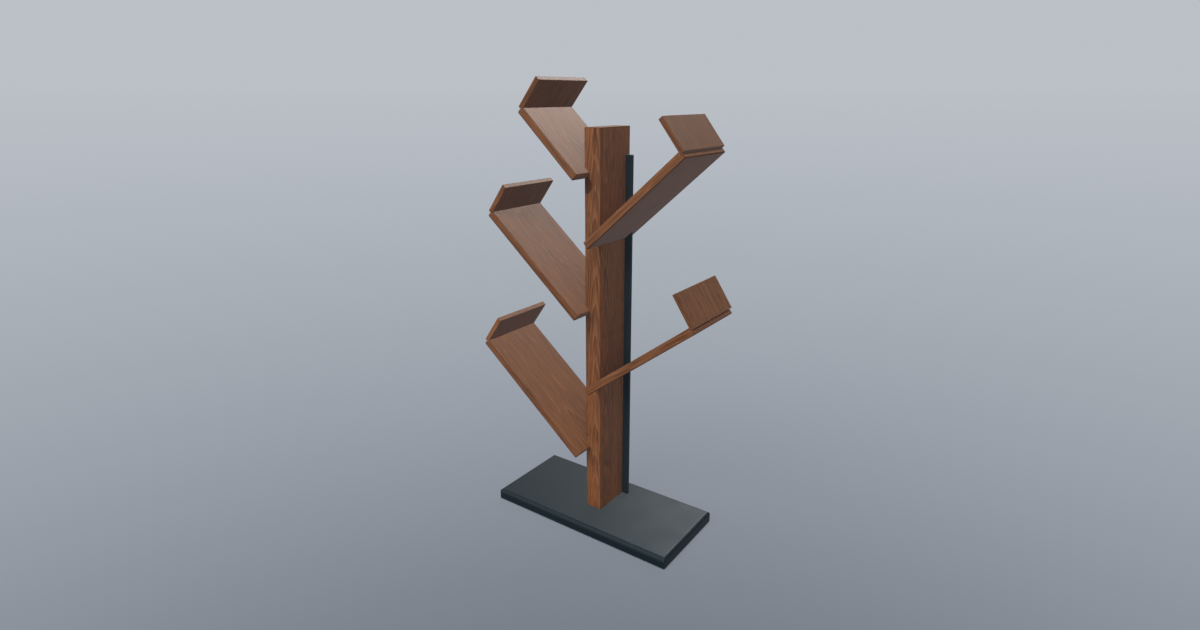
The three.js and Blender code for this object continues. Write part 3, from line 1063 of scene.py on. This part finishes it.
@dataclass(frozen=True)
class Sky:
    """An even sky with one soft glow in it, and a plain backdrop where the camera looks.

    Attributes:
        horizon: its brightness at the horizon.
        zenith: its brightness overhead.
        ground: its brightness below the horizon.
        turn: how far the glow's middle lies to the left of straight behind the object, in degrees.
        height: how far it lies above the horizon, in degrees.
        width: half the glow's width, in degrees.
        drop: half the glow's height, in degrees.
        glow: how bright its middle is.
        tint: the colour of all that light.
        backdrop: what the camera sees.
        distance: what it sees below the horizon, beyond the floor.
    """

    horizon: float = 0.34
    zenith: float = 0.70
    ground: float = 0.20
    turn: float = 13.0
    height: float = 38.0
    width: float = 9.0
    drop: float = 5.0
    glow: float = 9.5
    tint: Colour = (1.0, 1.0, 0.975)
    backdrop: Colour = (0.500, 0.530, 0.568)
    distance: Colour = (0.491, 0.521, 0.559)

    def build(self) -> None:
        """Makes the world.

        The glow is a bell curve of how far a direction lies across and up from the glow's
        middle, each as a share of the glow's own width and height.
        """
        world = bpy.data.worlds.new("sky")
        graph = Graph(world)
        turn, lift = math.radians(self.turn), math.radians(self.height)
        right = Vector((math.cos(turn), math.sin(turn), 0.0))
        level = Vector((-math.sin(turn), math.cos(turn), 0.0))
        ahead = level * math.cos(lift) + Vector((0, 0, math.sin(lift)))
        way = graph.add("ShaderNodeTexCoord", {}).outputs["Generated"]
        axes = (ahead, right, right.cross(ahead))
        middle, across, up = (graph.dot(way, tuple(axis)) for axis in axes)
        aside = graph.math("DIVIDE", across, math.sin(math.radians(self.width)))
        above = graph.math("DIVIDE", up, math.sin(math.radians(self.drop)))
        spread = graph.math("ADD", graph.times(aside, aside), graph.times(above, above))
        bell = graph.math("EXPONENT", graph.times(spread, -0.5))
        bell = graph.times(bell, graph.eased(middle, 0.0, 0.3, to=(0.0, self.glow)))
        height = graph.parts(way)[2]
        rise = graph.plus(self.horizon - self.ground, (height, self.zenith - self.horizon))
        even = graph.plus(self.ground, (graph.eased(height, low=-0.05, high=0.02), rise))
        strength = graph.math("ADD", even, bell)
        light = graph.add("ShaderNodeBackground", {"Color": (*self.tint, 1.0), "Strength": strength})
        clear = graph.eased(height, low=-0.004, high=0.012)
        backdrop = graph.blend(clear, self.distance, self.backdrop)
        seen = graph.add("ShaderNodeBackground", {"Color": backdrop, "Strength": 1.0})
        camera = graph.add("ShaderNodeLightPath", {}).outputs["Is Camera Ray"]
        mixed = graph.add("ShaderNodeMixShader", {0: camera, 1: light.outputs[0], 2: seen.outputs[0]})
        graph.add("ShaderNodeOutputWorld", {"Surface": mixed.outputs[0]})
        bpy.context.scene.world = world


@dataclass(frozen=True)
class Floor:
    """A wide floor, palest far away and greyest in front of the object.

    Attributes:
        size: its width and depth.
        grey: the spot round which it is greyest.
        fade: the distance from that spot at which most of the change is over.
        near: how far from the middle its own light starts to fade in.
        far: from where on it shows its colour as written.
        share: how much of its colour is its own light near the object, which thins the shadow.
        foot: half the width and half the depth of what stands on it, where the camera sees none
            of that light.
        mirrored: how bright that light is for whoever sees it in a mirror.
        colours: its colours, from far away to the grey spot.
    """

    size: float = 240.0
    grey: Triple = (1.39, -1.98, 0.0)
    fade: float = 1.65
    near: float = 1.0
    far: float = 5.0
    share: float = 0.88
    foot: Span = (0.405, 0.184)
    mirrored: float = 0.78
    colours: Stops = (
        (0.0, (0.494, 0.524, 0.562)), (0.08, (0.460, 0.492, 0.543)),
        (0.25, (0.386, 0.423, 0.467)), (0.45, (0.297, 0.328, 0.377)),
        (0.60, (0.226, 0.253, 0.295)), (0.72, (0.174, 0.198, 0.235)),
        (0.84, (0.150, 0.172, 0.206)), (1.0, (0.138, 0.159, 0.192)),
    )

    def colour(self, graph: Graph, world: Socket) -> Socket:
        """Colours the floor.

        It follows the fade distance over the long side of a right triangle, whose other sides are
        that distance and the one from the grey spot.

        Args:
            graph: the material.
            world: a point's place in the world.

        Returns:
            The colour.
        """
        lifted = (self.grey[0], self.grey[1], self.fade)
        inputs = {0: world, 1: lifted}
        offset = graph.add("ShaderNodeVectorMath", inputs, operation="SUBTRACT").outputs[0]
        return graph.ramp(graph.math("DIVIDE", self.fade, graph.length(offset)), self.colours)

    def lit(self, graph: Graph, world: Socket, camera: Socket) -> Socket:
        """Finds how much of the colour is the floor's own light.

        Args:
            graph: the material.
            world: a point's place in the world.
            camera: whether the camera looks at it.

        Returns:
            The share, from zero to one.
        """
        share = graph.eased(graph.length(world), self.near, self.far, (self.share, 1.0))
        beyond = (
            graph.math("SUBTRACT", graph.math("ABSOLUTE", part), half)
            for part, half in zip(graph.parts(world), self.foot)
        )
        under = graph.eased(graph.math("MAXIMUM", *beyond), low=-0.002, high=0.004, to=(1, 0))
        return graph.times(share, graph.math("SUBTRACT", 1.0, graph.times(under, camera)))

    def material(self) -> bpy.types.Material:
        """Makes its finish.

        Part of its colour is the floor's own light for whoever sees the floor directly, in a
        mirror or through glass.

        Returns:
            The material.
        """
        graph = Graph(bpy.data.materials.new("floor"))
        world = graph.world()
        colour = self.colour(graph, world)
        normal = graph.relief(graph.layer(world, Layer(400.0, 400.0)), depth=0.0001, strength=0.1)
        plain = graph.add("ShaderNodeBsdfDiffuse", {"Color": colour, "Normal": normal}).outputs[0]
        path = graph.add("ShaderNodeLightPath", {}).outputs
        camera, glossy, through = (path[f"Is {ray} Ray"] for ray in ("Camera", "Glossy", "Transmission"))
        strength = graph.plus(1.0, (glossy, self.mirrored - 1.0))
        own = graph.add("ShaderNodeEmission", {"Color": colour, "Strength": strength}).outputs[0]
        seen = graph.math("MAXIMUM", graph.math("MAXIMUM", camera, glossy), through)
        share = graph.times(seen, self.lit(graph, world, camera))
        mixed = graph.add("ShaderNodeMixShader", {0: share, 1: plain, 2: own})
        graph.add("ShaderNodeOutputMaterial", {"Surface": mixed.outputs[0]})
        return graph.owner

    def build(self) -> None:
        """Lays a square whose corners pair minus and plus half its size along X and Y."""
        half = self.size / 2
        sides = np.array([-half, half])
        x, y = np.meshgrid(sides, sides)
        points = np.stack([x.ravel(), y.ravel(), np.zeros(4)], axis=1)
        mesh = bpy.data.meshes.new("floor")
        mesh.from_pydata(points.tolist(), [], [(0, 1, 3, 2)])
        mesh.materials.append(self.material())
        floor = bpy.data.objects.new("floor", mesh)
        bpy.context.scene.collection.objects.link(floor)


@dataclass
class Studio:
    """The floor, the sky, the lamps and the camera.

    Attributes:
        camera_turn: how far the camera is turned to the left of straight ahead, in degrees.
        camera_drop: how far it looks down, in degrees.
        lens: its focal length, in millimetres.
        sensor: its sensor's width, in millimetres.
    """

    camera_place: Triple = (1.4159, -2.0158, 1.6499)
    camera_turn: float = 35.30
    camera_drop: float = 17.89
    lens: float = 20.43
    sensor: float = 36.0
    farthest: float = 500.0
    lamps: tuple[Lamp, ...] = (
        Lamp("key", (-0.12, -0.77, 0.63), 2.02, 40.0),
        Lamp("fill", (0.62, -0.74, 0.26), 0.50, 60.0),
    )
    sky: Sky = Sky()
    floor: Floor = Floor()

    def camera(self) -> None:
        """Places the camera at the photograph's angle."""
        data = bpy.data.cameras.new("camera")
        data.sensor_width = self.sensor
        data.sensor_fit = "HORIZONTAL"
        data.lens = self.lens
        data.clip_end = self.farthest
        body = bpy.data.objects.new("camera", data)
        body.location = self.camera_place
        body.rotation_euler = (math.radians(90 - self.camera_drop), 0, math.radians(self.camera_turn))
        bpy.context.scene.collection.objects.link(body)
        bpy.context.scene.camera = body

    def build(self) -> None:
        """Sets up the whole stage."""
        bpy.context.scene.view_settings.view_transform = "Standard"
        self.camera()
        for lamp in self.lamps:
            lamp.hang()
        self.sky.build()
        self.floor.build()


# In each row, the two tones after the seed are painted shade on the board's long edges and painted light
# and shade on its end stop.
BRANCHES = (
    Branch("left_top", Side.LEFT, 1.345, 0.232, 0.217, 4.2, 0.88, 0.84, Meets.NONE),
    Branch("left_middle", Side.LEFT, 0.838, 0.401, 0.343, 5.7, 0.76, 0.93, Meets.STRAIGHT),
    Branch("left_low", Side.LEFT, 0.272, 0.456, 0.376, 7.1, 0.80, 1.10, Meets.NONE),
    Branch("right_top", Side.RIGHT, 1.113, 0.366, 0.326, 8.6, 0.95, 0.80, Meets.ALL),
    Branch("right_low", Side.RIGHT, 0.558, 0.426, 0.325, 9.4, 0.90, 0.85, Meets.ALL),
)


def main() -> None:
    """Builds the stage and dresses each sub-assembly in order, from the floor up."""
    logging.basicConfig(level=logging.INFO, format="%(message)s")
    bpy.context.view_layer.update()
    Studio().build()
    Base().build()
    Trunk().build()
    Spine().build()
    for branch in BRANCHES:
        branch.build()


if __name__ == "__main__":
    main()
